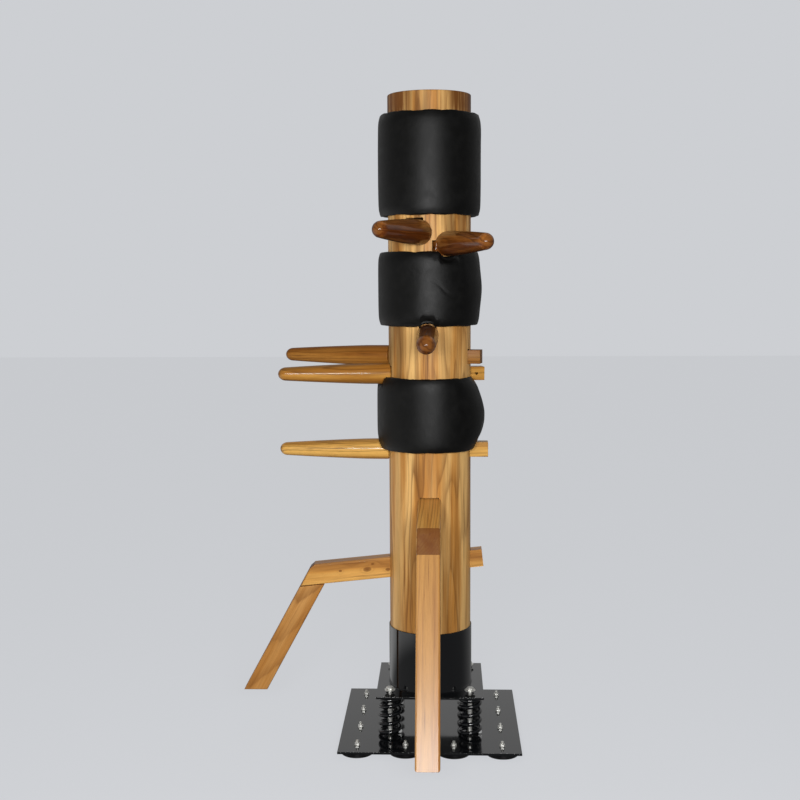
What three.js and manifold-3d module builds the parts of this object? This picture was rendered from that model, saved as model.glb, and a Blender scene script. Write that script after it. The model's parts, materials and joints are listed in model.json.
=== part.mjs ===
// A free-standing wooden boxing dummy: a round trunk with three padded wraps, six turned arms and two
// bent legs, standing in a steel sleeve on four coil springs over a plate with twelve suction cups.
// Millimetres, +Z up. The front of the dummy faces -Y and its second set of limbs points along -X.
// Everything is built round the trunk's axis, and the finished group is then moved so that the origin
// is at the middle of its footprint, on the floor.
import * as THREE from 'three';
import { mergeVertices } from 'three/addons/utils/BufferGeometryUtils.js';
import Module from 'manifold-3d';

const wasm = await Module();
wasm.setup();

// ---- driving dimensions ------------------------------------------------------------------------
const GAP = 0.3; // between pieces that touch
const BITE = 1; // how far a cutting or joining shape runs past the surface it meets

const TRUNK_R = 115;
const TRUNK_TOP = 1793;
const TRUNK_SIDES = 56;
const TRUNK_CHAMFER = 3;

const BASE_PLATE = 500; // square
const TOP_PLATE = 300; // square
const PLATE_T = 6;
const BASE_PLATE_Z = 14; // underside
const TOP_PLATE_Z = 132; // underside

const SLEEVE_R = 118;
const SLEEVE_WALL = 2.5;
const SLEEVE_RIM = 307;

const CUP_R = 46;
const CUP_PITCH = 132.5; // four cups to a side
const STUD_R = 4;
const STUD_TIP = 34;
const NUT_R = 7.5; // across the corners
const NUT_H = 6.5;

const SPRING_AT = 112; // each spring's distance from the trunk's axis along X and along Y
const SPRING_R = 28; // to the middle of the wire
const WIRE_R = 5.5;
const SPRING_TURNS = 5;
const FLAT_TURNS = 0.6; // at each end
const FLAT_PITCH = 4;

const BOLT_R = 6;
const BOLT_HOLE_R = 11; // in the top plate, wide enough for the plate to rock
const BOLT_LIFT = 8; // from the top plate to the bolt's washer
const WASHER_R = 15;
const WASHER_T = 2.5;
const BOLT_HEAD_R = 10;
const BOLT_HEAD_H = 7;

const ARM_OUT = 310; // from shoulder to tip
const TENON_ROOT = 20; // how far a tenon's block runs into its leg
const ARM_ROOT = 8; // and into its arm
const LIMB_PAST = 60; // how far a limb's cutting shapes run past its ends
const PLAY = 12; // how far a limb slides out before its pin meets the trunk
const PIN_R = 4;
const PIN_HEAD_R = 7;
const PIN_HEAD_T = 4;
const PIN_OUT = 18; // from the tenon to the pin's head
const PIN_BLIND = 8; // wood left beyond a blind pin hole
const PIN_SLACK = 0.5; // between a pin and the trunk when its limb is right out
const PIN_RECESS = 4; // from the tenon's face to the end of a pin whose hole goes right through

const KNEE_BEND = 55.5; // degrees between bar and shank
const KNEE_CUT_BAR = 7; // the corner taken off the knee, along the bar
const KNEE_CUT_SHANK = 12; // and along the shank
const ARRIS = 5; // the rounding along a leg's edges
const DOWEL_R = 7;
const DOWEL_UP = 22; // from the joint into the bar
const DOWEL_DOWN = 28; // from the joint into the shank

const PAD_INNER = 116;
const PAD_SIDES = 32;
const PAD_EDGE = 9; // how far the pad's outer edge rounds over
const PAD_LIP = 4; // and its inner edge
const LIMB_CLEAR = 1.5; // between a limb and the pad that is notched round it

// ---- what is placed where ----------------------------------------------------------------------
// yaw: the way the limb points, in degrees from +X. tilt: how far it droops, in degrees.
// offset: from the trunk's axis to the line of the arm, along X. tenonUp and tenonLeft: from the
// arm's line to the tenon's. rear: from the trunk's axis to the tenon's end. room: from the tenon to its
// mortise at each side, below and above. knee: from the trunk's axis to the knee, along the bar.
const FRONT = -90;
const SIDE = 180;
const room = [3.5, GAP, 3];
const frontArm = { rootR: 33, tipR: 21.5, rear: 158, tenon: 38, pinSide: 1, room };
const sideArm = { rootR: 29.3, tipR: 18.5, rear: 150, tenon: 38, pinSide: -1, room };
const upperTenon = { tenonUp: 13, tenonLeft: -16.5, room: [6, GAP, 7.5] };
const upperArm = { ...frontArm, ...upperTenon, rootR: 34.5, offset: 14.5 };
const lowerArm = { ...frontArm, offset: 12, tenonUp: -13, tenonLeft: -16, room: [6, GAP, 3] };
const middleArm = { ...frontArm, rootR: 29.5, offset: -3.5, tipR: 24.3, rear: 160, tenon: 41 };
const arms = [
  { ...upperArm, name: 'front_left_arm', z: 1417, yaw: FRONT - 18.7 },
  { ...lowerArm, name: 'front_right_arm', z: 1386.5, yaw: FRONT + 19.3 },
  { ...middleArm, name: 'front_middle_arm', z: 1144, yaw: FRONT, tilt: 1.7 },
  { ...sideArm, name: 'side_far_arm', z: 1076, yaw: SIDE - 12, rear: 147 },
  { ...sideArm, name: 'side_near_arm', z: 1027.5, yaw: SIDE + 12, tilt: -0.8, rear: 154, throughHole: true },
  { ...sideArm, name: 'side_middle_arm', z: 813, yaw: SIDE, rear: 164, tenon: 41 },
];
const leg = { room: [2, GAP, 3] };
const frontLeg = { ...leg, thick: 55, width: 62, knee: 318, tenon: 54, tenonW: 46, rear: 156, pinSide: 1 };
const sideLeg = { ...leg, thick: 59, width: 50, knee: 321.5, tenon: 49, tenonW: 40, rear: 150, pinSide: -1 };
const legs = [
  { ...frontLeg, name: 'front_leg', z: 681, yaw: FRONT, tilt: 9.5, toe: 110 },
  { ...sideLeg, name: 'side_leg', z: 487, yaw: SIDE, tilt: 6, toe: 111.5 },
];
const pads = [
  { name: 'head_pad', low: 1464, high: 1738, outer: 141 },
  { name: 'chest_pad', low: 1164, high: 1366, outer: 142 },
  { name: 'lower_pad', low: 819, high: 1022, outer: 150 },
];

// ---- materials ---------------------------------------------------------------------------------
const finish = (color, roughness, metalness) => {
  const settings = { color, roughness, metalness };
  return () => new THREE.MeshStandardMaterial(settings);
};
const trunkWood = finish('#b98a45', 0.35, 0);
const frontArmWood = finish('#5b3416', 0.3, 0);
const sideArmWood = finish('#a8702c', 0.3, 0);
const legWood = finish('#bb7f42', 0.35, 0);
const leather = finish('#161614', 0.45, 0);
const blackSteel = finish('#0a0b0d', 0.15, 0.3);
const springSteel = finish('#0d0e10', 0.25, 0.4);
const zinc = finish('#b9bab4', 0.3, 1);
const rubber = finish('#131414', 0.5, 0);

// ---- solids ------------------------------------------------------------------------------------
function solid(geometry) {
  const bare = geometry.clone();
  bare.deleteAttribute('normal');
  bare.deleteAttribute('uv');
  const merged = mergeVertices(bare, 1e-3);
  const vertProperties = new Float32Array(merged.attributes.position.array);
  const triVerts = new Uint32Array(merged.index.array);
  return new wasm.Manifold(new wasm.Mesh({ numProp: 3, vertProperties, triVerts }));
}

function geometryOf(manifold) {
  const mesh = manifold.getMesh();
  const geometry = new THREE.BufferGeometry();
  geometry.setAttribute('position', new THREE.BufferAttribute(new Float32Array(mesh.vertProperties), 3));
  geometry.setIndex(new THREE.BufferAttribute(new Uint32Array(mesh.triVerts), 1));
  geometry.computeVertexNormals();
  return geometry;
}

function cut(geometry, ...tools) {
  return geometryOf(tools.reduce((left, tool) => left.subtract(solid(tool)), solid(geometry)));
}

function join(first, ...others) {
  return geometryOf(others.reduce((sum, other) => sum.add(solid(other)), solid(first)));
}

// A box by its low and high corner.
function block(low, high) {
  const size = high.map((value, axis) => value - low[axis]);
  const middle = high.map((value, axis) => (value + low[axis]) / 2);
  return new THREE.BoxGeometry(...size).translate(...middle);
}

// A round piece about the Z axis; points are [radius, z].
function turned(points, sides) {
  const profile = points.map(([radius, z]) => new THREE.Vector2(radius, z));
  return new THREE.LatheGeometry(profile, sides).rotateX(Math.PI / 2);
}

const rod = (radius, low, high, sides) => turned([[0, low], [radius, low], [radius, high], [0, high]], sides);
// The same rod lying along Y, from low to high.
const crossRod = (radius, low, high, sides) => rod(radius, low, high, sides).rotateX(-Math.PI / 2);
// A round piece along X.
const turnedAlongX = (points, sides) => turned(points, sides).rotateY(Math.PI / 2);

function add(group, name, geometry, material) {
  const mesh = new THREE.Mesh(geometry, material());
  mesh.name = name;
  group.add(mesh);
  return mesh;
}

// ---- base: plate, suction cups, studs and spring bolts ---------------------------------------------
const dummy = new THREE.Group();
const base = new THREE.Group();
const post = new THREE.Group();
const springs = new THREE.Group();
dummy.add(base, springs, post);

// Every place on the rim of a four by four grid.
function cupPlaces() {
  const steps = [-1.5, -0.5, 0.5, 1.5];
  const rim = (x, y) => Math.abs(x) > 1 || Math.abs(y) > 1;
  return steps.flatMap((y) => steps.filter((x) => rim(x, y)).map((x) => [x * CUP_PITCH, y * CUP_PITCH]));
}

const springPlaces = [[-1, -1], [1, -1], [-1, 1], [1, 1]].map(([x, y]) => [x * SPRING_AT, y * SPRING_AT]);

function plate(side, z, holes) {
  const half = side / 2;
  const outline = new THREE.Shape([[-half, -half], [half, -half], [half, half], [-half, half]]
    .map(([x, y]) => new THREE.Vector2(x, y)));
  outline.holes = holes.map(([x, y, radius]) => new THREE.Path().absarc(x, y, radius, 0, 2 * Math.PI, true));
  const settings = { depth: PLATE_T, bevelEnabled: false, curveSegments: 6 };
  return new THREE.ExtrudeGeometry(outline, settings).translate(0, 0, z);
}

// A shallow bell with a flat lip, open below, and a neck that meets the plate.
function suctionCup() {
  const lip = 4;
  const neckR = 18;
  const top = BASE_PLATE_Z - GAP;
  const hollow = [[0, 3.2], [14, 3.4], [32, 2.6], [CUP_R - lip, 0]];
  const bell = [[CUP_R, 0], [CUP_R, 1.5], [30, 9], [neckR, top], [0, top]];
  return turned([...hollow, ...bell], 14);
}

function studAndNut() {
  const plateTop = BASE_PLATE_Z + PLATE_T;
  const nut = rod(NUT_R, plateTop + GAP, plateTop + NUT_H, 6);
  return join(rod(STUD_R, BASE_PLATE_Z, STUD_TIP, 6), nut);
}

function springBolt() {
  const washer = TOP_PLATE_Z + PLATE_T + BOLT_LIFT;
  const head = washer + WASHER_T;
  const lowNut = BASE_PLATE_Z - GAP;
  const end = 5;
  return join(
    rod(BOLT_R, end, head, 10),
    rod(WASHER_R, washer, head, 14),
    rod(BOLT_HEAD_R, head - BITE, head + BOLT_HEAD_H, 6),
    rod(BOLT_HEAD_R, lowNut - NUT_H, lowNut, 6),
    rod(BOLT_HEAD_R, BASE_PLATE_Z + PLATE_T + GAP, BASE_PLATE_Z + PLATE_T + NUT_H, 6),
  );
}

const cupAt = cupPlaces();
const studHoles = cupAt.map(([x, y]) => [x, y, STUD_R + GAP]);
const lowBoltHoles = springPlaces.map(([x, y]) => [x, y, BOLT_R + GAP]);
add(base, 'base_plate', plate(BASE_PLATE, BASE_PLATE_Z, [...studHoles, ...lowBoltHoles]), blackSteel);
const cupShape = suctionCup();
const studShape = studAndNut();
cupAt.forEach(([x, y], index) => {
  add(base, `suction_cup_${index + 1}`, cupShape, rubber).position.set(x, y, 0);
  add(base, `cup_stud_${index + 1}`, studShape, zinc).position.set(x, y, 0);
});
const boltShape = springBolt();
springPlaces.forEach(([x, y], index) => {
  add(base, `spring_bolt_${index + 1}`, boltShape, zinc).position.set(x, y, 0);
});

// ---- springs -------------------------------------------------------------------------------------
// A coil whose first and last turns lie nearly flat.
class Coil extends THREE.Curve {
  constructor(radius, low, high) {
    super();
    this.radius = radius;
    this.low = low;
    this.pitch = (high - low - 2 * FLAT_TURNS * FLAT_PITCH) / (SPRING_TURNS - 2 * FLAT_TURNS);
  }
  getPoint(t, target = new THREE.Vector3()) {
    const turn = t * SPRING_TURNS;
    const flat = Math.min(turn, FLAT_TURNS) + Math.max(turn - (SPRING_TURNS - FLAT_TURNS), 0);
    const z = this.low + flat * FLAT_PITCH + (turn - flat) * this.pitch;
    const angle = 2 * Math.PI * turn;
    return target.set(this.radius * Math.cos(angle), this.radius * Math.sin(angle), z);
  }
}

function spring() {
  const rest = GAP + WIRE_R + 0.2; // from a plate to the middle of the wire
  const low = BASE_PLATE_Z + PLATE_T + rest;
  const high = TOP_PLATE_Z - rest;
  const wire = new THREE.Shape();
  wire.absarc(0, 0, WIRE_R, 0, 2 * Math.PI, false);
  const path = new Coil(SPRING_R, low, high);
  return new THREE.ExtrudeGeometry(wire, { steps: 12 * SPRING_TURNS, curveSegments: 3, extrudePath: path });
}

const springShape = spring();
springPlaces.forEach(([x, y], index) => {
  add(springs, `spring_${index + 1}`, springShape, springSteel).position.set(x, y, 0);
});

// ---- post: top plate, sleeve, anchor screw ---------------------------------------------------------
const floorZ = TOP_PLATE_Z + PLATE_T; // where the trunk stands
const SCREW_R = 5;
const SCREW_TOP = floorZ + 60;
const SCREW_HEAD_R = 11;
const SCREW_HEAD_H = 8;
const wideHoles = springPlaces.map(([x, y]) => [x, y, BOLT_HOLE_R]);
add(post, 'top_plate', plate(TOP_PLATE, TOP_PLATE_Z, [...wideHoles, [0, 0, SCREW_R + GAP]]), blackSteel);
const sleeveInner = SLEEVE_R - SLEEVE_WALL;
const sleeveFoot = floorZ + GAP;
const sleeveOutside = [[SLEEVE_R, sleeveFoot], [SLEEVE_R, SLEEVE_RIM]];
const sleeveInside = [[sleeveInner, SLEEVE_RIM], [sleeveInner, sleeveFoot]];
const sleeveWall = [...sleeveOutside, ...sleeveInside, sleeveOutside[0]];
add(post, 'sleeve', turned(sleeveWall, TRUNK_SIDES), blackSteel);
const screwHead = TOP_PLATE_Z - GAP;
const screwShank = rod(SCREW_R, screwHead - BITE, SCREW_TOP, 8);
add(post, 'anchor_screw', join(screwShank, rod(SCREW_HEAD_R, screwHead - SCREW_HEAD_H, screwHead, 6)), zinc);

// ---- limbs ---------------------------------------------------------------------------------------
const radians = THREE.MathUtils.degToRad;

// Where a limb sits: its own +X points outwards along it, and its origin is level with the trunk's axis.
function placement({ z, yaw, tilt = 0, offset = 0 }) {
  const place = new THREE.Object3D();
  place.position.set(offset, 0, z);
  place.rotation.set(0, radians(tilt), radians(yaw), 'ZYX');
  place.updateMatrix();
  return place;
}

// Along a limb, how far from its origin the trunk's axis lies.
const footOf = ({ yaw, offset = 0 }) => -offset * Math.cos(radians(yaw));
// Along a limb, where a flat shoulder stands clear of the trunk, allowing for the limb's droop.
function shoulderOf(limb) {
  const tilt = radians(Math.abs(limb.tilt ?? 0));
  const half = limb.rootR ?? limb.thick / 2;
  return footOf(limb) + (TRUNK_R + GAP + half * Math.sin(tilt)) / Math.cos(tilt);
}
const pinAt = (limb) => footOf(limb) - TRUNK_R - PLAY - PIN_R - GAP - PIN_SLACK;

// A tenon as a box in the limb's own frame, grown by sideways, down and up.
function tenonBlock(limb, front, back, [side, down, up]) {
  const { tenon, tenonW = tenon, tenonUp = 0, tenonLeft = 0, rear } = limb;
  const low = [-rear - back, tenonLeft - tenonW / 2 - side, tenonUp - tenon / 2 - down];
  const high = [front, tenonLeft + tenonW / 2 + side, tenonUp + tenon / 2 + up];
  return block(low, high);
}

// A turned arm: a parallel root, a long taper and a round tip.
function turnedArm(limb) {
  const { rootR, tipR } = limb;
  const edge = 2.5;
  const start = shoulderOf(limb);
  const tipCentre = start + ARM_OUT - tipR;
  const taper = [[rootR - 0.6, start + 60], [tipR + 0.4, tipCentre - 22]];
  const points = [[0, start], [rootR - edge, start], [rootR, start + edge], ...taper];
  const tipSteps = 5;
  for (let step = 0; step < tipSteps; step += 1) {
    const angle = (step / tipSteps) * (Math.PI / 2);
    points.push([tipR * Math.cos(angle), tipCentre + tipR * Math.sin(angle)]);
  }
  return turnedAlongX([...points, [0, start + ARM_OUT]], 16);
}

const pinHole = (limb, halfWidth) => {
  const far = limb.throughHole ? halfWidth + BITE : halfWidth - PIN_BLIND;
  const ends = [-limb.pinSide * far, limb.pinSide * (halfWidth + BITE)].sort((a, b) => a - b);
  return crossRod(PIN_R + GAP, ends[0], ends[1], 10);
};

// The pin: a rod with a round head, pushed in from one side of the tenon.
function pin(limb, halfWidth) {
  const tip = -halfWidth + (limb.throughHole ? PIN_RECESS : PIN_BLIND + 1);
  const neck = halfWidth + PIN_OUT;
  const end = neck + PIN_HEAD_T;
  const shank = [[0, tip], [PIN_R - 1, tip], [PIN_R, tip + 1], [PIN_R, neck]];
  const head = [[PIN_HEAD_R, neck], [PIN_HEAD_R, end], [0, end]];
  return turned([...shank, ...head], 10).rotateX(limb.pinSide > 0 ? -Math.PI / 2 : Math.PI / 2);
}

function addPin(holder, limb, halfWidth) {
  const mesh = add(holder, `${limb.name}_pin`, pin(limb, halfWidth), zinc);
  mesh.position.set(pinAt(limb), limb.tenonLeft ?? 0, limb.tenonUp ?? 0);
}

function addArm(limb, material) {
  const holder = placement(limb);
  const half = limb.tenon / 2;
  const hole = pinHole(limb, half).translate(pinAt(limb), limb.tenonLeft ?? 0, limb.tenonUp ?? 0);
  const tenon = tenonBlock(limb, shoulderOf(limb) + ARM_ROOT, 0, [0, 0, 0]);
  add(holder, limb.name, cut(join(turnedArm(limb), tenon), hole), material);
  addPin(holder, limb, half);
  post.add(holder);
}

// ---- legs ----------------------------------------------------------------------------------------
// Where two lines meet, each given as [x, z, direction x, direction z].
function meet([x1, z1, a1, b1], [x2, z2, a2, b2]) {
  const t = ((x2 - x1) * b2 - (z2 - z1) * a2) / (a1 * b2 - b1 * a2);
  return [x1 + a1 * t, z1 + b1 * t];
}

// A leg's outline is drawn in its own frame, where the bar lies along X.
function legShape(limb) {
  const half = limb.thick / 2;
  const bend = radians(KNEE_BEND);
  const tilt = radians(limb.tilt);
  const along = [Math.cos(bend), -Math.sin(bend)];
  const across = [Math.sin(bend), Math.cos(bend)];
  const outer = [limb.knee + across[0] * half, across[1] * half, ...along];
  const inner = [limb.knee - across[0] * half, -across[1] * half, ...along];
  const top = [0, half, 1, 0];
  const underside = [0, -half, 1, 0];
  const seat = [0, -half - GAP, 1, 0];
  // The toe is cut level with the floor: a point below the origin, along the tilted floor line.
  const drop = limb.z - limb.toe;
  const floorLine = [drop * Math.sin(tilt), -drop * Math.cos(tilt), Math.cos(tilt), Math.sin(tilt)];
  const corner = meet(top, outer);
  // The bar starts inside the trunk, whose round then shapes its shoulder.
  const start = TRUNK_R - TENON_ROOT;
  const bar = [
    [start, -half],
    meet(underside, outer),
    [corner[0] + along[0] * KNEE_CUT_SHANK, corner[1] + along[1] * KNEE_CUT_SHANK],
    [corner[0] - KNEE_CUT_BAR, half],
    [start, half],
  ];
  const shank = [meet(seat, inner), meet(floorLine, inner), meet(floorLine, outer), meet(seat, outer)];
  const jointMiddle = [meet(underside, inner), meet(underside, outer)];
  const dowel = [(jointMiddle[0][0] + jointMiddle[1][0]) / 2, -half];
  return { bar, shank, dowel };
}

// A flat outline in the limb's XZ plane, given the leg's width, with its edges rounded.
function plank(points, width) {
  const outline = new THREE.Shape(points.map(([x, z]) => new THREE.Vector2(x, z)));
  const rounding = { bevelThickness: ARRIS, bevelSize: ARRIS, bevelOffset: -ARRIS, bevelSegments: 2 };
  const settings = { depth: width - 2 * ARRIS, ...rounding };
  return new THREE.ExtrudeGeometry(outline, settings).translate(0, 0, ARRIS - width / 2).rotateX(Math.PI / 2);
}

function addLeg(limb) {
  const holder = placement(limb);
  const { bar, shank, dowel } = legShape(limb);
  const half = limb.tenonW / 2;
  const hole = pinHole(limb, half).translate(pinAt(limb), 0, 0);
  const dowelRoom = rod(DOWEL_R + GAP, -DOWEL_DOWN - GAP, DOWEL_UP + GAP, 10);
  const dowelHole = dowelRoom.translate(dowel[0], 0, dowel[1]);
  const toTrunk = holder.matrix.clone().invert();
  const round = rod(TRUNK_R + GAP, limb.z - LIMB_PAST, limb.z + LIMB_PAST, TRUNK_SIDES).applyMatrix4(toTrunk);
  const tenon = tenonBlock(limb, TRUNK_R + TENON_ROOT, 0, [0, 0, 0]);
  const beam = join(cut(plank(bar, limb.width), round), tenon);
  add(holder, `${limb.name}_bar`, cut(beam, hole, dowelHole), legWood);
  add(holder, `${limb.name}_shank`, cut(plank(shank, limb.width), dowelHole), legWood);
  const dowelShape = rod(DOWEL_R, -DOWEL_DOWN, DOWEL_UP, 10).translate(dowel[0], 0, dowel[1]);
  add(holder, `${limb.name}_dowel`, dowelShape, legWood);
  addPin(holder, limb, half);
  post.add(holder);
}

arms.forEach((limb) => addArm(limb, limb.yaw > 0 ? sideArmWood : frontArmWood));
legs.forEach(addLeg);

// ---- trunk and pads --------------------------------------------------------------------------------
// A limb's mortise: the tenon rests on its floor, with room at the sides and above.
function mortise(limb) {
  const front = shoulderOf(limb) + LIMB_PAST;
  return tenonBlock(limb, front, LIMB_PAST, limb.room).applyMatrix4(placement(limb).matrix);
}

const mortises = [...arms, ...legs].map(mortise);
const trunkFoot = floorZ + GAP;
const trunkBlank = turned([[0, trunkFoot], [TRUNK_R, trunkFoot], [TRUNK_R, TRUNK_TOP - TRUNK_CHAMFER],
  [TRUNK_R - TRUNK_CHAMFER, TRUNK_TOP], [0, TRUNK_TOP]], TRUNK_SIDES);
const screwHole = rod(SCREW_R + GAP, trunkFoot - BITE, SCREW_TOP + BITE, 8);
add(post, 'trunk', cut(trunkBlank, ...mortises, screwHole), trunkWood);

// A pad is notched where an arm's root or tenon passes its edge.
function padShape({ low, high, outer }) {
  const bulge = 1;
  const middle = (low + high) / 2;
  const half = (high - low) / 2;
  const ends = [
    [PAD_INNER, half - PAD_LIP],
    [PAD_INNER + PAD_LIP, half],
    [outer - PAD_EDGE, half],
    [outer, half - PAD_EDGE],
  ];
  const foot = ends.map(([radius, z]) => [radius, middle - z]);
  const head = ends.map(([radius, z]) => [radius, middle + z]).reverse();
  return turned([...foot, [outer + bulge, middle], ...head, foot[0]], PAD_SIDES);
}

function limbEnvelopes(limb) {
  const matrix = placement(limb).matrix;
  const shoulder = shoulderOf(limb);
  const root = rod(limb.rootR + LIMB_CLEAR, shoulder - PLAY, shoulder + LIMB_PAST, 24).rotateY(Math.PI / 2);
  const tenonFront = tenonBlock(limb, shoulder + LIMB_PAST, 0, [LIMB_CLEAR, LIMB_CLEAR, LIMB_CLEAR]);
  const pinRoom = PIN_OUT + PIN_HEAD_T + 2 * LIMB_CLEAR;
  const tenonRear = tenonBlock(limb, 0, LIMB_PAST, [pinRoom, 2 * LIMB_CLEAR, 2 * LIMB_CLEAR]);
  return [root, tenonFront, tenonRear].map((shape) => shape.applyMatrix4(matrix));
}

const envelopes = arms.flatMap(limbEnvelopes);
pads.forEach((pad) => add(post, pad.name, cut(padShape(pad), ...envelopes), leather));

// ---- stand it on the floor, in the middle of its footprint -------------------------------------------
dummy.updateMatrixWorld(true);
const bounds = new THREE.Box3().setFromObject(dummy, true);
dummy.position.set(-(bounds.min.x + bounds.max.x) / 2, -(bounds.min.y + bounds.max.y) / 2, -bounds.min.z);

export default dummy;
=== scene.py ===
"""A free-standing wooden boxing dummy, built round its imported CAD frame.

Everything is in metres in the frame's own axes: +Z up, the front of the dummy faces -Y and its second
set of limbs points along -X. Sizes and places come from the frame; the rest are named values here.
"""
import json
import math

import bmesh
import bpy
from mathutils import Matrix, Vector


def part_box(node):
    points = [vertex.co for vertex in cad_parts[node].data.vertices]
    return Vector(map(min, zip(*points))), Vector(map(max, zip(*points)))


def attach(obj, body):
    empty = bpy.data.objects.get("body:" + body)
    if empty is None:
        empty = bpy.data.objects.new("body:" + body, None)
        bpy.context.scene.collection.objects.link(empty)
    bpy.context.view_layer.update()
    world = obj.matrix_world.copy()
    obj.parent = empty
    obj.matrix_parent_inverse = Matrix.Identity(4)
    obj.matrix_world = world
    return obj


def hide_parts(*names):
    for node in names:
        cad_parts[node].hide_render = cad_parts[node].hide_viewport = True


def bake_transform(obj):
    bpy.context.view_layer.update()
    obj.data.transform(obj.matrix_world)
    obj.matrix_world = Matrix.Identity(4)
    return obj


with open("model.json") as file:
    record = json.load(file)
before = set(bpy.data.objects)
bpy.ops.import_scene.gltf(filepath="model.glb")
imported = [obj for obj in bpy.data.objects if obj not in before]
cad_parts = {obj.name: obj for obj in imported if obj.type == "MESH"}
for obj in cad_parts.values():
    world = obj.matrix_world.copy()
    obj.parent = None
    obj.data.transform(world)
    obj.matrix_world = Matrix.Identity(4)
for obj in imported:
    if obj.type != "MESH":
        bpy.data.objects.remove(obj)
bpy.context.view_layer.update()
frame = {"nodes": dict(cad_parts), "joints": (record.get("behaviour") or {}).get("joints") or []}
MM = 0.001
UP = Vector((0, 0, 1))


# ---- measures taken from the frame -----------------------------------
def middle(node):
    low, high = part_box(node)
    return (low + high) / 2


trunk_low, trunk_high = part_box("trunk")
AXIS = Vector(((trunk_low.x + trunk_high.x) / 2, (trunk_low.y + trunk_high.y) / 2, 0))
TRUNK_R = (trunk_high.x - trunk_low.x) / 2
slides = {joint["child"]: Vector(joint["axis"]) for joint in frame["joints"] if joint["type"] == "slide"}


def corners(node):
    return [vertex.co.copy() for vertex in frame["nodes"][node].data.vertices]


def limb_place(body, origin):
    """A limb's own frame: X points outwards along it, Y to its left and Z up."""
    out = slides[body].normalized()
    left = UP.cross(out).normalized()
    top = out.cross(left)
    place = Matrix((out, left, top)).transposed().to_4x4()
    place.translation = origin
    return place


def add_object(name, data):
    obj = bpy.data.objects.new(name, data)
    bpy.context.scene.collection.objects.link(obj)
    return obj


# ---- camera and studio -----------------------------------------------
CAMERA_BACK = 3.39  # from the trunk's axis
CAMERA_UP = 1.32
CAMERA_AZIMUTH = math.radians(0.75)
CAMERA_TURN = math.radians(2.17)
CAMERA_DROP = math.radians(6.2)
CAMERA_ROLL = -0.0051
LENS = 54.36
BACKGROUND = (0.610, 0.624, 0.651)


def add_camera():
    data = bpy.data.cameras.new("camera")
    data.lens = LENS
    data.sensor_width = 36
    camera = add_object("camera", data)
    side = CAMERA_BACK * math.sin(CAMERA_AZIMUTH)
    back = CAMERA_BACK * math.cos(CAMERA_AZIMUTH)
    turn = Matrix.Rotation(CAMERA_TURN, 4, "Z")
    tip = Matrix.Rotation(math.pi / 2 - CAMERA_DROP, 4, "X")
    roll = Matrix.Rotation(CAMERA_ROLL, 4, "Z")
    camera.matrix_world = Matrix.Translation((AXIS.x + side, AXIS.y - back, CAMERA_UP)) @ turn @ tip @ roll
    bpy.context.scene.camera = camera


def add_light(name, place, target, size, power):
    data = bpy.data.lights.new(name, "AREA")
    data.shape = "RECTANGLE"
    data.size, data.size_y = size
    data.energy = power
    light = add_object(name, data)
    light.location = AXIS + Vector(place)
    aim = AXIS + Vector(target) - light.location
    light.rotation_euler = aim.to_track_quat("-Z", "Y").to_euler()


def add_world():
    """The pale backdrop that the camera sees. What lights the object is a dim studio with a bright wall
    high up behind it and another, mostly low down, on the left."""
    world = bpy.data.worlds.new("studio")
    world.use_nodes = True
    bpy.context.scene.world = world
    graph = Graph("", world.node_tree)
    away = graph.node("ShaderNodeSeparateXYZ", {0: graph.coords("Generated")}).outputs
    raised = graph.spread(away["Z"], 0.02, 0.26, 0.25, 1.0)
    behind = graph.times(graph.spread(away["Y"], 0.0, 0.6), raised)
    below = graph.spread(away["Z"], -0.04, -0.20, 0.20, 1.7)
    left = graph.times(graph.spread(away["X"], -0.25, -0.9), below)
    glow = graph.math("ADD", graph.times(behind, 0.37), graph.times(left, 0.50))
    glow = graph.math("ADD", glow, 0.13)
    seen = graph.node("ShaderNodeLightPath", {}).outputs["Is Camera Ray"]
    level = graph.node("ShaderNodeCombineXYZ", {0: glow, 1: glow, 2: glow}).outputs[0]
    graph.tree.links.new(graph.mix(seen, level, rgb(*BACKGROUND)), graph.shader.inputs["Color"])


def add_studio():
    bpy.context.scene.view_settings.view_transform = "Standard"
    add_world()
    add_light("front_softbox", (0.05, -3.35, 1.42), (0, 0, 1.0), (1.7, 0.45), 106)
    floor = grid_mesh("floor", [[(x, y, 0) for x in (-15, 15)] for y in (-15, 15)])
    floor.data.materials.append(floor_paint())
    floor.visible_diffuse = False
    floor.visible_glossy = False


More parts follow.
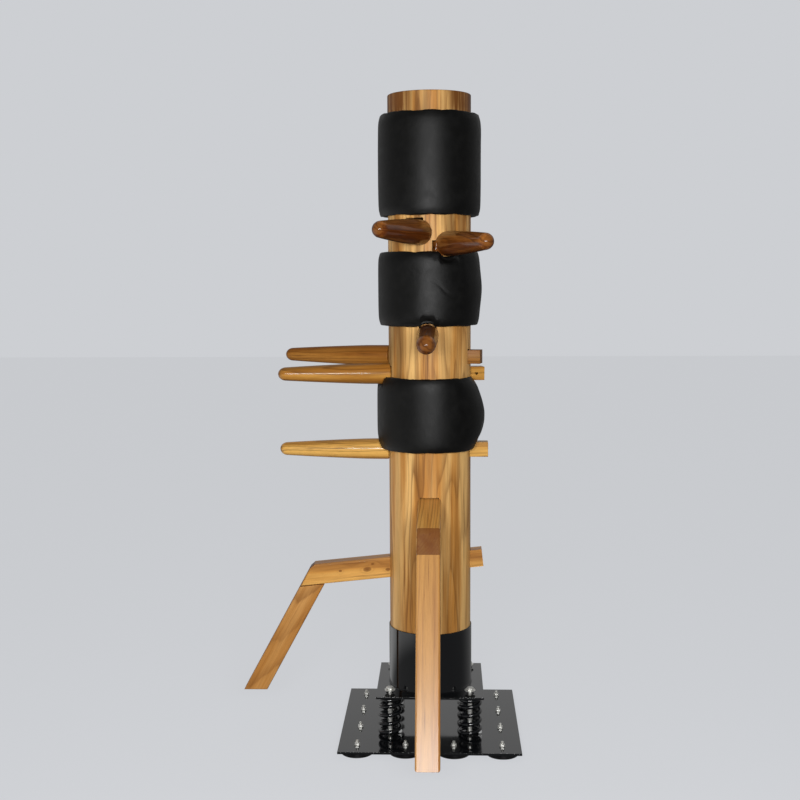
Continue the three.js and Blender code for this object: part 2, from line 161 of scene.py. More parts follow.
# ---- node graphs -----------------------------------------------------
class Graph:
    """Short calls that build one material's nodes. Each returns an output socket."""

    def __init__(self, name, tree=None):
        if tree is None:
            self.material = bpy.data.materials.new(name)
            self.material.use_nodes = True
        self.tree = tree or self.material.node_tree
        self.shader = self.tree.nodes["Background" if tree else "Principled BSDF"]

    def node(self, kind, inputs, **settings):
        node = self.tree.nodes.new(kind)
        for key, value in settings.items():
            setattr(node, key, value)
        for slot, value in inputs.items():
            if isinstance(value, bpy.types.NodeSocket):
                self.tree.links.new(value, node.inputs[slot])
            else:
                node.inputs[slot].default_value = value
        return node

    def coords(self, output="Object"):
        return self.node("ShaderNodeTexCoord", {}).outputs[output]

    def mapping(self, vector, place):
        inputs = {"Vector": vector, "Location": place.to_translation(), "Rotation": place.to_euler()}
        return self.node("ShaderNodeMapping", inputs).outputs[0]

    def vector(self, operation, first, second):
        return self.node("ShaderNodeVectorMath", {0: first, 1: second}, operation=operation).outputs[0]

    def math(self, operation, first, second=0.0, clamp=False):
        inputs = {0: first, 1: second}
        return self.node("ShaderNodeMath", inputs, operation=operation, use_clamp=clamp).outputs[0]

    def times(self, first, second, clamp=False):
        return self.math("MULTIPLY", first, second, clamp)

    def noise(self, vector, scale=1.0, detail=2.0, roughness=0.5, output="Fac"):
        inputs = {"Vector": vector, "Scale": scale, "Detail": detail, "Roughness": roughness}
        return self.node("ShaderNodeTexNoise", inputs).outputs[output]

    def cell_edges(self, vector, scale):
        inputs = {"Vector": vector, "Scale": scale}
        return self.node("ShaderNodeTexVoronoi", inputs, feature="DISTANCE_TO_EDGE").outputs["Distance"]

    def spread(self, value, low, high, out_low=0.0, out_high=1.0):
        inputs = {0: value, 1: low, 2: high, 3: out_low, 4: out_high}
        return self.node("ShaderNodeMapRange", inputs, interpolation_type="SMOOTHSTEP").outputs[0]

    def ramp(self, value, *stops):
        node = self.node("ShaderNodeValToRGB", {0: value})
        elements = node.color_ramp.elements
        while len(elements) < len(stops):
            elements.new(1.0)
        for element, (position, level) in zip(elements, stops):
            element.position = position
            element.color = (level, level, level, 1)
        return node.outputs[0]

    def mix(self, factor, first, second):
        inputs = {0: factor, 6: first, 7: second}
        return self.node("ShaderNodeMix", inputs, data_type="RGBA").outputs[2]

    def bump(self, height, strength, distance):
        inputs = {"Height": height, "Strength": strength, "Distance": distance}
        return self.node("ShaderNodeBump", inputs).outputs[0]

    def set(self, **inputs):
        """Sets the shader's sockets: base_color=... is the socket Base Color."""
        names = {socket.name.lower().replace(" ", "_"): socket for socket in self.shader.inputs}
        for key, value in inputs.items():
            if isinstance(value, bpy.types.NodeSocket):
                self.tree.links.new(value, names[key])
            else:
                names[key].default_value = value
        return self.material


def rgb(*values):
    return (*values, 1.0)


# ---- wood ------------------------------------------------------------
# pale, warm, dark and dull: its colours. rings: their spacing. pith: where the tree's middle lies, across
# the grain. lean: how far the pith strays for each metre. wander: how wavy the rings are. figure: how
# strongly they show. end: the colour of end grain, and end_from: how squarely a face must cut the grain to
# take it. coat and coat_roughness: the varnish. shine: how much the bare wood reflects. veins: dark bands
# along the grain, each (place across the grain, half width, strength).
TRUNK_LOOK = dict(
    pale=rgb(0.83, 0.500, 0.180), warm=rgb(0.52, 0.230, 0.050), dark=rgb(0.160, 0.058, 0.013),
    dull=rgb(0.270, 0.155, 0.052), end=rgb(0.36, 0.18, 0.065), rings=0.017, pith=(0.02, 0.07), lean=0.02,
    wander=0.075, figure=0.70, roughness=0.42, coat=0.0, shine=0.16,
    veins=((0.034, 0.009, 0.45), (-0.046, 0.017, 0.24), (-0.078, 0.006, 0.3), (0.085, 0.010, 0.25)),
)
FRONT_ARM_LOOK = dict(
    pale=rgb(0.330, 0.115, 0.020), warm=rgb(0.120, 0.030, 0.005), dark=rgb(0.026, 0.006, 0.002),
    dull=rgb(0.070, 0.020, 0.005), end=rgb(0.200, 0.070, 0.014), rings=0.011, pith=(0.02, 0.03), lean=0.06,
    wander=0.06, figure=0.6, roughness=0.36, coat=0.42, shine=0.03,
)
SIDE_ARM_LOOK = dict(
    pale=rgb(0.60, 0.300, 0.062), warm=rgb(0.360, 0.145, 0.022), dark=rgb(0.105, 0.036, 0.007),
    dull=rgb(0.24, 0.110, 0.022), end=rgb(0.24, 0.100, 0.022), rings=0.010, pith=(0.02, 0.04), lean=0.05,
    wander=0.045, figure=0.6, roughness=0.34, coat=0.22, shine=0.12,
)
FAR_ARM_LOOK = dict(
    SIDE_ARM_LOOK, coat=0.0, shine=0.08, pale=rgb(0.37, 0.160, 0.030), warm=rgb(0.23, 0.080, 0.012),
)
MIDDLE_ARM_LOOK = dict(SIDE_ARM_LOOK, pale=rgb(0.78, 0.440, 0.110), warm=rgb(0.55, 0.260, 0.050))
LEG_LOOK = dict(
    pale=rgb(0.64, 0.325, 0.090), warm=rgb(0.46, 0.195, 0.042), dark=rgb(0.170, 0.055, 0.012),
    dull=rgb(0.36, 0.150, 0.035), end=rgb(0.115, 0.032, 0.010), rings=0.008, pith=(-0.05, 0.03), lean=0.03,
    wander=0.022, figure=0.5, roughness=0.34, coat=0.22, shine=0.14,
)
BEAM_LOOK = dict(
    LEG_LOOK, pale=rgb(0.78, 0.42, 0.110), warm=rgb(0.60, 0.270, 0.055), figure=0.7, end_from=0.3,
)
SHANK_LOOK = dict(LEG_LOOK, pale=rgb(0.60, 0.30, 0.090), rings=0.012, pith=(-0.045, 0.02), lean=0.10)
POST_LOOK = dict(
    LEG_LOOK, pale=rgb(0.52, 0.255, 0.064), warm=rgb(0.39, 0.155, 0.030), rings=0.006, pith=(0.004, 0.09),
    lean=0.01, wander=0.010, figure=0.45, roughness=0.42, coat=0.45, coat_roughness=0.24, shine=0.14,
)


def knot_phase(graph, local, knots):
    """How far knots push the rings, and how dark they are. Each knot is (x, y, z, radius)."""
    push, core = 0.0, 0.0
    for x, y, z, radius in knots:
        away = graph.vector("SUBTRACT", local, (x, y, z))
        flat = graph.vector("MULTIPLY", away, (0.62 / radius, 0.35 / radius, 1 / radius))
        distance = graph.node("ShaderNodeVectorMath", {0: flat}, operation="LENGTH").outputs["Value"]
        near = graph.math("DIVIDE", 1.0, graph.math("ADD", graph.times(distance, distance), 0.35))
        push = graph.math("ADD", near, push)
        core = graph.math("ADD", graph.spread(distance, 0.75, 0.2), core)
    return push, core


def growth_rings(graph, local, shifted, look, knots):
    """How dark the late wood is at a point, and how far inside a knot it lies."""
    slow = graph.vector("MULTIPLY", shifted, (1.1, 9.0, 9.0))
    drift = graph.vector("SUBTRACT", graph.noise(slow, 1.0, 3.0, output="Color"), (0.5, 0.5, 0.5))
    drift = graph.vector("MULTIPLY", drift, (0.0, look["wander"] * 2, look["wander"] * 2))
    along = graph.node("ShaderNodeSeparateXYZ", {0: local}).outputs["X"]
    lean = graph.node("ShaderNodeCombineXYZ", {1: graph.times(along, look["lean"])}).outputs[0]
    across = graph.vector("ADD", graph.vector("MULTIPLY", local, (0.0, 1.0, 1.0)), drift)
    away = graph.vector("SUBTRACT", graph.vector("ADD", across, lean), (0.0, *look["pith"]))
    reach = graph.node("ShaderNodeVectorMath", {0: away}, operation="LENGTH").outputs["Value"]
    push, core = knot_phase(graph, local, knots) if knots else (0.0, 0.0)
    phase = graph.math("ADD", graph.math("DIVIDE", reach, look["rings"]), push)
    stops = ((0.0, 0.25), (0.12, 0.0), (0.55, 0.12), (0.93, 1.0), (1.0, 0.25))
    ring = graph.ramp(graph.math("FRACT", phase), *stops)
    which = graph.math("FLOOR", phase)
    year = graph.node("ShaderNodeTexWhiteNoise", {"W": which}, noise_dimensions="1D").outputs["Value"]
    return graph.times(ring, graph.spread(year, 0.0, 1.0, 0.2, 1.0)), core


def wood(name, place, look, knots=(), seed=0.0, painted_shade_span=None):
    """Varnished wood whose grain runs along the X of place. The last argument is where along the grain a
    painted shade starts and ends growing darker: the sides away from the front's middle band darken there as
    shade, not as a stain."""
    graph = Graph(name)
    local = graph.mapping(graph.coords(), place.inverted())
    shifted = graph.vector("ADD", local, (seed, 0.37 * seed, 0.61 * seed))
    ring, core = growth_rings(graph, local, shifted, look, knots)
    bands = graph.noise(graph.vector("MULTIPLY", shifted, (1.3, 24.0, 24.0)), 1.0, 3.0, 0.55)
    dulls = graph.noise(graph.vector("MULTIPLY", shifted, (1.6, 17.0, 17.0)), 1.0, 2.0, 0.5)
    streaks = graph.noise(graph.vector("MULTIPLY", shifted, (3.5, 130.0, 130.0)), 1.0, 3.0, 0.6)
    fibres = graph.noise(graph.vector("MULTIPLY", shifted, (14.0, 900.0, 900.0)), 1.0, 2.0, 0.6)
    dashes = graph.noise(graph.vector("MULTIPLY", shifted, (60.0, 1300.0, 1300.0)), 1.0, 1.0)
    pores = graph.spread(dashes, 0.66, 0.76)

    color = graph.mix(graph.spread(bands, 0.38, 0.62), look["pale"], look["warm"])
    color = graph.mix(graph.times(graph.spread(dulls, 0.55, 0.70), 0.75), color, look["dull"])
    across = graph.node("ShaderNodeSeparateXYZ", {0: local}).outputs["Z"]
    sway = graph.math("ADD", across, graph.times(graph.math("SUBTRACT", dulls, 0.5), 0.05))
    for centre, width, strength in look.get("veins", ()):
        away = graph.math("ABSOLUTE", graph.math("SUBTRACT", sway, centre))
        color = graph.mix(graph.spread(away, width, 0.3 * width, 0.0, strength), color, look["dark"])
    color = graph.mix(graph.times(ring, look["figure"], clamp=True), color, look["dark"])
    color = graph.mix(graph.times(graph.spread(streaks, 0.55, 0.76), 0.7), color, look["dark"])
    color = graph.mix(graph.times(graph.spread(streaks, 0.46, 0.24), 0.35), color, look["pale"])
    grain = graph.spread(fibres, 0.25, 0.75, 0.86, 1.10)
    grain = graph.node("ShaderNodeCombineXYZ", {0: grain, 1: grain, 2: grain}).outputs[0]
    color = graph.vector("MULTIPLY", color, grain)
    color = graph.mix(graph.times(pores, 0.35), color, look["dark"])
    if knots:
        color = graph.mix(graph.times(core, 0.8, clamp=True), color, look["dark"])
    # Painted shade: towards one end the sides darken while the front's middle band stays light, broken up by
    # the streaks.
    if painted_shade_span:
        along = graph.node("ShaderNodeSeparateXYZ", {0: local}).outputs["X"]
        side = graph.math("ABSOLUTE", graph.node("ShaderNodeSeparateXYZ", {0: local}).outputs["Z"])
        painted_shade = graph.times(graph.spread(along, *painted_shade_span), graph.spread(side, 0.03, 0.08))
        painted_shade = graph.times(painted_shade, graph.spread(streaks, 0.30, 0.60, 0.55, 1.3), clamp=True)
        color = graph.mix(painted_shade, color, look["dark"])
    facing = graph.node(
        "ShaderNodeVectorMath", {0: graph.coords("Normal"), 1: place.to_3x3().col[0]}, operation="DOT_PRODUCT"
    ).outputs["Value"]
    end_from = look.get("end_from", 0.66)
    cut_end = graph.spread(graph.math("ABSOLUTE", facing), end_from, end_from + 0.14)
    end_color = graph.mix(graph.times(ring, 0.6), look["end"], look["dark"])
    color = graph.mix(graph.times(cut_end, 0.85), color, end_color)

    height = graph.math("SUBTRACT", graph.times(fibres, 0.3), graph.times(pores, 0.7))
    normal = graph.bump(height, 0.25, 0.0003)
    roughness = graph.spread(streaks, 0.2, 0.8, look["roughness"] - 0.05, look["roughness"] + 0.07)
    return graph.set(
        base_color=color, roughness=roughness, normal=normal,
        coat_weight=look["coat"], coat_roughness=look.get("coat_roughness", 0.07),
        specular_ior_level=look["shine"],
    )


# ---- the other materials ---------------------------------------------
def leather():
    """Black coated leather: small raised grain, faint creases and scuffed patches."""
    graph = Graph("black_leather")
    here = graph.coords()
    edges = graph.cell_edges(here, 620.0)
    pebble = graph.spread(edges, 0.0, 0.28)
    soft = graph.noise(here, 34.0, 4.0, 0.6)
    creases = graph.noise(graph.vector("MULTIPLY", here, (1.0, 1.0, 2.2)), 60.0, 5.0, 0.65)
    worn = graph.spread(soft, 0.40, 0.75)
    color = graph.mix(worn, rgb(0.0020, 0.0020, 0.0018), rgb(0.0050, 0.0050, 0.0046))
    color = graph.mix(graph.spread(pebble, 0.6, 0.0, 0.0, 0.5), color, rgb(0.003, 0.003, 0.003))
    height = graph.math("ADD", graph.times(pebble, 0.35), creases)
    normal = graph.bump(height, 0.35, 0.0006)
    roughness = graph.spread(soft, 0.25, 0.75, 0.40, 0.50)
    return graph.set(base_color=color, roughness=roughness, normal=normal, specular_ior_level=0.19)


def gloss_black(name, roughness, dust):
    """Black enamel with a slight orange peel and fine dust."""
    graph = Graph(name)
    here = graph.coords()
    peel = graph.noise(here, 190.0, 2.0)
    specks = graph.spread(graph.noise(here, 700.0, 2.0), 0.68, 0.80)
    haze = graph.spread(graph.noise(here, 9.0, 4.0, 0.6), 0.35, 0.75)
    dusty = graph.times(specks, dust)
    color = graph.mix(dusty, rgb(0.0045, 0.005, 0.006), rgb(0.05, 0.052, 0.055))
    smear = graph.math("ADD", graph.times(haze, 0.06), roughness)
    normal = graph.bump(peel, 0.05, 0.0004)
    return graph.set(base_color=color, roughness=smear, normal=normal, coat_weight=0.3, coat_roughness=0.04)


def zinc():
    """Bright zinc plate with dull patches."""
    graph = Graph("zinc_plate")
    here = graph.coords()
    patches = graph.noise(here, 240.0, 3.0)
    color = graph.mix(graph.spread(patches, 0.3, 0.7), rgb(0.60, 0.60, 0.56), rgb(0.80, 0.80, 0.77))
    roughness = graph.spread(patches, 0.3, 0.7, 0.34, 0.50)
    dents = graph.bump(patches, 0.1, 0.0002)
    return graph.set(base_color=color, metallic=0.75, roughness=roughness, normal=dents)


def rubber():
    graph = Graph("cup_rubber")
    here = graph.coords()
    bloom = graph.noise(here, 45.0, 4.0, 0.6)
    color = graph.mix(graph.spread(bloom, 0.35, 0.7), rgb(0.008, 0.008, 0.009), rgb(0.022, 0.022, 0.023))
    roughness = graph.spread(bloom, 0.3, 0.7, 0.38, 0.55)
    normal = graph.bump(graph.noise(here, 900.0, 2.0), 0.15, 0.0002)
    return graph.set(base_color=color, roughness=roughness, normal=normal)


def thread_cotton():
    graph = Graph("waxed_thread")
    twist = graph.noise(graph.vector("MULTIPLY", graph.coords(), (900.0, 900.0, 400.0)), 1.0, 2.0)
    color = graph.mix(twist, rgb(0.010, 0.010, 0.010), rgb(0.035, 0.034, 0.032))
    return graph.set(base_color=color, roughness=0.7, normal=graph.bump(twist, 0.4, 0.0003))


def floor_paint():
    """Even pale grey: mostly its own glow, so that it meets the backdrop with no edge, and a little paint
    that takes the shadows."""
    graph = Graph("floor_paint")
    mottle = graph.noise(graph.coords(), 3.0, 3.0)
    color = graph.mix(mottle, rgb(0.135, 0.138, 0.145), rgb(0.14, 0.143, 0.15))
    return graph.set(
        base_color=color, roughness=1.0, specular_ior_level=0.0,
        emission_color=rgb(*BACKGROUND), emission_strength=0.89,
    )


# ---- mesh helpers ----------------------------------------------------
def mesh_object(name, points, faces):
    mesh = bpy.data.meshes.new(name)
    mesh.from_pydata([tuple(point) for point in points], [], faces)
    mesh.update()
    return add_object(name, mesh)


def grid_faces(rows, columns, wrap_rows=False, wrap_columns=False):
    faces = []
    for row in range(rows if wrap_rows else rows - 1):
        for column in range(columns if wrap_columns else columns - 1):
            ahead, beside = (row + 1) % rows, (column + 1) % columns
            here, there = row * columns, ahead * columns
            faces.append((here + column, here + beside, there + beside, there + column))
    return faces


def grid_mesh(name, rows, wrap_rows=False, wrap_columns=False):
    points = [point for row in rows for point in row]
    return mesh_object(name, points, grid_faces(len(rows), len(rows[0]), wrap_rows, wrap_columns))


def face_outwards(obj):
    work = bmesh.new()
    work.from_mesh(obj.data)
    bmesh.ops.recalc_face_normals(work, faces=work.faces)
    work.to_mesh(obj.data)
    work.free()
    return obj


def lathe(name, profile, sides, place=None):
    """A round piece about Z. A profile of (radius, z) that starts and ends at radius 0 is capped there;
    any other is joined end to start."""
    place = place or Matrix()
    capped = profile[0][0] == 0 and profile[-1][0] == 0
    rings = profile[1:-1] if capped else profile
    angles = [2 * math.pi * index / sides for index in range(sides)]
    points = [place @ Vector((r * math.cos(a), r * math.sin(a), z)) for r, z in rings for a in angles]
    faces = grid_faces(len(rings), sides, wrap_rows=not capped, wrap_columns=True)
    if capped:
        last = (len(rings) - 1) * sides
        for height, ring in ((profile[0][1], 0), (profile[-1][1], last)):
            points.append(place @ Vector((0, 0, height)))
            centre = len(points) - 1
            faces += [(ring + index, ring + (index + 1) % sides, centre) for index in range(sides)]
    return face_outwards(mesh_object(name, points, faces))


def rounded(corner, radius, start, end, steps=4):
    """An arc of (radius, z) points round the middle point corner, from angle start to end in degrees."""
    angles = [math.radians(start + (end - start) * step / steps) for step in range(steps + 1)]
    return [(corner[0] + radius * math.cos(a), corner[1] + radius * math.sin(a)) for a in angles]


def block(name, low, high, place=None):
    place = place or Matrix()
    ends = [(x, y, z) for x in (low[0], high[0]) for y in (low[1], high[1]) for z in (low[2], high[2])]
    points = [place @ Vector(end) for end in ends]
    faces = [(0, 1, 3, 2), (4, 6, 7, 5), (0, 4, 5, 1), (2, 3, 7, 6), (0, 2, 6, 4), (1, 5, 7, 3)]
    return face_outwards(mesh_object(name, points, faces))


def tube(name, path, radius, sides, closed=False):
    """A round bar along a list of points, with flat ends unless it is closed."""
    rows = []
    count = len(path)
    normal = None
    for index, point in enumerate(path):
        after = path[(index + 1) % count] if closed or index + 1 < count else point
        before = path[index - 1] if closed or index > 0 else point
        tangent = (after - before).normalized()
        if normal is None:
            normal = tangent.orthogonal().normalized()
        normal = (normal - tangent * normal.dot(tangent)).normalized()
        side = tangent.cross(normal)
        angles = [2 * math.pi * step / sides for step in range(sides)]
        rows.append([point + radius * (normal * math.cos(a) + side * math.sin(a)) for a in angles])
    obj = grid_mesh(name, rows, wrap_rows=closed, wrap_columns=True)
    if not closed:
        work = bmesh.new()
        work.from_mesh(obj.data)
        bmesh.ops.holes_fill(work, edges=[edge for edge in work.edges if edge.is_boundary], sides=0)
        work.to_mesh(obj.data)
        work.free()
    return face_outwards(obj)


def bake_modifiers(obj):
    """Replaces an object's mesh with what its modifiers make of it."""
    graph = bpy.context.evaluated_depsgraph_get()
    mesh = bpy.data.meshes.new_from_object(obj.evaluated_get(graph))
    obj.modifiers.clear()
    obj.data = mesh
    return obj


def combine(obj, tools, operation):
    for tool in tools:
        modifier = obj.modifiers.new("boolean", "BOOLEAN")
        modifier.operation = operation
        modifier.solver = "EXACT"
        modifier.object = tool
    bake_modifiers(obj)
    for tool in tools:
        bpy.data.objects.remove(tool)
    return obj


def ease_edges(obj, width, segments=2, angle=35):
    """Rounds every edge sharper than angle."""
    modifier = obj.modifiers.new("bevel", "BEVEL")
    modifier.width = width
    modifier.segments = segments
    modifier.limit_method = "ANGLE"
    modifier.angle_limit = math.radians(angle)
    modifier.use_clamp_overlap = True
    bake_modifiers(obj)
    for polygon in obj.data.polygons:
        polygon.use_smooth = True
    weighted = obj.modifiers.new("weighted", "WEIGHTED_NORMAL")
    weighted.mode = "FACE_AREA"
    weighted.weight = 100
    return bake_modifiers(obj)


def merge(name, parts):
    """One object that holds several meshes."""
    work = bmesh.new()
    for part in parts:
        part.data.transform(part.matrix_world)
        work.from_mesh(part.data)
        bpy.data.objects.remove(part)
    mesh = bpy.data.meshes.new(name)
    work.to_mesh(mesh)
    work.free()
    return add_object(name, mesh)


def refined(node, name, width, segments=3, angle=20):
    """A copy of a flat-sided CAD node with its facets merged and its edges rounded."""
    work = bmesh.new()
    work.from_mesh(frame["nodes"][node].data)
    bmesh.ops.remove_doubles(work, verts=work.verts, dist=2e-5)
    bmesh.ops.dissolve_limit(work, angle_limit=math.radians(0.5), verts=work.verts, edges=work.edges)
    mesh = bpy.data.meshes.new(name)
    work.to_mesh(mesh)
    work.free()
    return ease_edges(add_object(name, mesh), width, segments, angle)


def dress(obj, material, smooth=35):
    """Material and shading: smooth except at edges sharper than the angle given."""
    obj.data.materials.clear()
    obj.data.materials.append(material)
    for polygon in obj.data.polygons:
        polygon.use_smooth = True
    obj.data.set_sharp_from_angle(angle=math.radians(smooth))
    return obj


def stand_in(obj, body, *nodes):
    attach(obj, body)
    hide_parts(*nodes)


# ---- trunk -----------------------------------------------------------
ARM_OUT = 0.310  # from shoulder to tip
ARM_HOLE_R = 4.3 * MM
BLIND = 8 * MM  # wood left beyond a pin hole that doesn't go through
CUT_AHEAD, CUT_BEHIND = 0.2, 0.06  # how far a mortise's cutter reaches past the axis and the tenon's end
arms = [
    dict(name="front_left", tip=21.5 * MM, room=(6, 0.3, 7.5), look=FRONT_ARM_LOOK, seed=1.3),
    dict(name="front_right", tip=21.5 * MM, room=(6, 0.3, 3), look=FRONT_ARM_LOOK, seed=4.1),
    dict(name="front_middle", tip=24.3 * MM, room=(3.5, 0.3, 3), look=FRONT_ARM_LOOK, seed=7.7),
    dict(name="side_far", tip=18.5 * MM, room=(3.5, 0.3, 3), look=FAR_ARM_LOOK, seed=2.2),
    dict(name="side_near", tip=18.5 * MM, room=(3.5, 0.3, 3), look=SIDE_ARM_LOOK, seed=5.9, through=True),
    dict(name="side_middle", tip=18.5 * MM, room=(3.5, 0.3, 3), look=MIDDLE_ARM_LOOK, seed=9.4),
]
legs = [dict(name="front", room=(2, 0.3, 3), seed=3.3), dict(name="side", room=(2, 0.3, 3), seed=6.1)]


def measure(limb, node, body):
    """Adds what the frame says about a limb: its place, its tenon's corners and where its shoulder is."""
    out = slides[body]
    points = corners(node)
    ahead = max(points, key=lambda point: point.dot(out))
    rear = min(point.dot(out) for point in points)
    end_face = [point for point in points if point.dot(out) < rear + 0.1 * MM]
    rear_middle = sum(end_face, Vector()) / len(end_face)
    limb["body"] = body
    limb["node"] = node
    limb["place"] = limb_place(body, ahead if node.endswith("arm") else rear_middle)
    back = limb["place"].inverted()
    local = [back @ point for point in end_face]
    limb["tenon"] = [(min(p[axis] for p in local), max(p[axis] for p in local)) for axis in range(3)]
    inner = [back @ point for point in points]
    limb["trunk_x"] = (back @ Vector((AXIS.x, AXIS.y, limb["place"].translation.z))).x
    roots = [math.hypot(p.y, p.z) for p in inner if p.x > -ARM_OUT + 0.02]
    limb["root"] = max(roots) + 0.6 * MM
    return limb


for arm in arms:
    measure(arm, f"{arm['name']}_arm", f"arm_{arm['name']}")
for leg in legs:
    measure(leg, f"{leg['name']}_leg_bar", f"leg_{leg['name']}")


def tenon_box(name, limb, front, back, room=(0, 0, 0)):
    side, down, up = (value * MM for value in room)
    (rear, _), (right, left), (low, high) = limb["tenon"]
    far_corner = (rear - back, right - side, low - down)
    near_corner = (front, left + side, high + up)
    return block(name, far_corner, near_corner, limb["place"])


def build_trunk():
    low, high = trunk_low.z, trunk_high.z
    edge = 3 * MM
    profile = [(0, low), (TRUNK_R, low), (TRUNK_R, low + 0.2), (TRUNK_R, high - 0.1)]
    profile += rounded((TRUNK_R - edge, high - edge), edge, 0, 90)
    profile += [(0, high)]
    trunk = lathe("trunk_log", profile, 160, Matrix.Translation(AXIS))
    cutters = [
        tenon_box("cutter", limb, limb["trunk_x"] + CUT_AHEAD, CUT_BEHIND, limb["room"])
        for limb in arms + legs
    ]
    combine(trunk, cutters, "DIFFERENCE")
    ease_edges(trunk, 0.9 * MM, 2, 40)
    upright = Matrix.Translation(AXIS) @ Matrix.Rotation(-math.pi / 2, 4, "Y")
    # The trunk's top 0.10 m takes a painted shade on its left and right sides.
    trunk_wood = wood("trunk_wood", upright, TRUNK_LOOK, painted_shade_span=(high - 0.10, high - 0.03))
    dress(trunk, trunk_wood)
    stand_in(trunk, "post", "trunk")


# ---- arms ------------------------------------------------------------
def arm_profile(limb):
    """(radius, x) points from the shoulder to the tip: a parallel root, a taper and a round end."""
    root, tip = limb["root"], limb["tip"]
    dome = 1.18 * tip
    straight = 0.05
    points = [(0, -ARM_OUT), (root - 3.5 * MM, -ARM_OUT)]
    points += rounded((root - 2.5 * MM, -ARM_OUT + 2.5 * MM), 2.5 * MM, -90, 0, 4)
    points += [(root, -ARM_OUT + 3.5 * MM), (root, -ARM_OUT + 20 * MM)]
    taper = ARM_OUT - straight - dome
    steps = 14
    for step in range(1, steps + 1):
        share = step / steps
        radius = root + (tip - root) * (0.72 * share + 0.28 * share * share)
        points.append((radius, -ARM_OUT + straight + taper * share))
    for step in range(1, 9):
        angle = math.pi / 2 * step / 8
        points.append((tip * math.cos(angle) if step < 8 else 0, -dome + dome * math.sin(angle)))
    return points


def build_arm(limb):
    name = limb["name"]
    place = limb["place"]
    arm = lathe(f"{name}_turned_arm", arm_profile(limb), 72, place @ Matrix.Rotation(math.pi / 2, 4, "Y"))
    tenon = tenon_box("tenon", limb, -ARM_OUT + 0.008, 0)
    ease_edges(tenon, 1.2 * MM, 3)
    combine(arm, [tenon], "UNION")
    pin_low, pin_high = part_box(f"{name}_arm_pin")
    pin_local = place.inverted() @ ((pin_low + pin_high) / 2)
    (_, _), (right, left), (low, high) = limb["tenon"]
    centre = (right + left) / 2
    turn = -1 if pin_local.y > centre else 1
    start = right if turn < 0 else -left
    if not limb.get("through"):
        start += BLIND
    end = start + left - right + 2 * MM
    hole_profile = [(0, start), (ARM_HOLE_R, start), (ARM_HOLE_R, end), (0, end)]
    hole_place = place @ Matrix.Translation((pin_local.x, 0, (low + high) / 2))
    hole = lathe("hole", hole_profile, 28, hole_place @ Matrix.Rotation(turn * math.pi / 2, 4, "X"))
    combine(arm, [hole], "DIFFERENCE")
    dress(arm, wood(f"{name}_arm_wood", place, limb["look"], seed=limb["seed"]))
    stand_in(arm, limb["body"], limb["node"])


def build_pin(node, limb, steel):
    """A turned pin with a domed head, lying across the tenon."""
    place = limb["place"]
    local = [place.inverted() @ point for point in corners(node)]
    middle_x = sum(point.x for point in local) / len(local)
    heights = [point.z for point in local]
    line = place @ Matrix.Translation((middle_x, 0, (min(heights) + max(heights)) / 2))
    near = min(point.y for point in local)
    far = max(point.y for point in local)
    wide = max(local, key=lambda point: abs(point.z - (min(heights) + max(heights)) / 2))
    head_left = abs(wide.y - far) < abs(wide.y - near)
    start, end, turn = (near, far, -1) if head_left else (-far, -near, 1)
    radius, head = 4 * MM, 7 * MM
    neck = end - 4 * MM
    profile = [(0, start), (radius - 1 * MM, start), (radius, start + 1 * MM), (radius, neck - 1 * MM)]
    profile += [(radius + 0.6 * MM, neck), (head - 0.8 * MM, neck), (head, neck + 0.8 * MM)]
    dome = neck + 0.8 * MM
    profile += [(head * math.cos(a), dome + 3.2 * MM * math.sin(a)) for a in (0.45, 0.8, 1.1, 1.35)]
    profile += [(0, end)]
    pin = lathe(f"{node}_turned", profile, 32, line @ Matrix.Rotation(turn * math.pi / 2, 4, "X"))
    dress(pin, steel)
    stand_in(pin, limb["body"], node)


# ---- legs ------------------------------------------------------------
KNEE_REACH = 0.47  # from the tenon's end
KNEE_BEND = math.radians(55.5)
# Each is (along the bar from its tenon's end, towards its front face, up, radius).
SIDE_KNOTS = (
    (0.330, 0.025, 0.0, 0.013),
    (0.407, 0.025, 0.003, 0.006),
    (0.313, 0.025, 0.014, 0.006),
    (0.271, 0.025, -0.006, 0.009),
)


def build_leg(limb):
    name = limb["name"]
    knots = SIDE_KNOTS if name == "side" else ()
    bar = refined(f"{name}_leg_bar", f"{name}_leg_beam", 1.2 * MM)
    dress(bar, wood(f"{name}_bar_wood", limb["place"], BEAM_LOOK, knots, limb["seed"]), 50)
    stand_in(bar, limb["body"], f"{name}_leg_bar")
    shank = refined(f"{name}_leg_shank", f"{name}_leg_foot", 1.2 * MM)
    bend = Matrix.Rotation(KNEE_BEND, 4, "Y")
    shank_look = SHANK_LOOK if name == "side" else POST_LOOK
    shank_place = limb["place"] @ Matrix.Translation((KNEE_REACH, 0, 0)) @ bend
    dress(shank, wood(f"{name}_shank_wood", shank_place, shank_look, (), limb["seed"] + 4), 50)
    stand_in(shank, limb["body"], f"{name}_leg_shank")
    dowel = frame["nodes"][f"{name}_leg_dowel"]
    dowel.data.materials.clear()
    dowel.data.materials.append(wood(f"{name}_dowel_wood", Matrix.Rotation(-math.pi / 2, 4, "Y"), LEG_LOOK))


# ---- pads ------------------------------------------------------------
PAD_AROUND = 208
PAD_ROLL = 8  # points round each rolled edge
CLEAR = 2 * MM  # from a limb to the edge of a pad that passes round it
PUFF_STEPS = 20
PUFF_CAP = 5 * MM
FLAP_SPAN = (0.215, 0.285)  # of the way round, from +X
STITCH_PITCH = 5.5 * MM
STITCH_LIFT = 2.2 * MM
CREASE_ANGLE = 4.98  # where the chest pad's slanting crease is deepest
CREASE_HEIGHT = 0.52


def bell(value):
    return math.exp(-value * value)


# Each returns how much further out the pad stands at an angle and a height from 0 at its foot to 1.
def head_swell(angle, height):
    ripple = 0.4 * MM * math.sin(3 * angle + 0.7)
    return ripple + 1.2 * MM * bell((height - 0.86) / 0.12) * max(0, math.cos(angle))


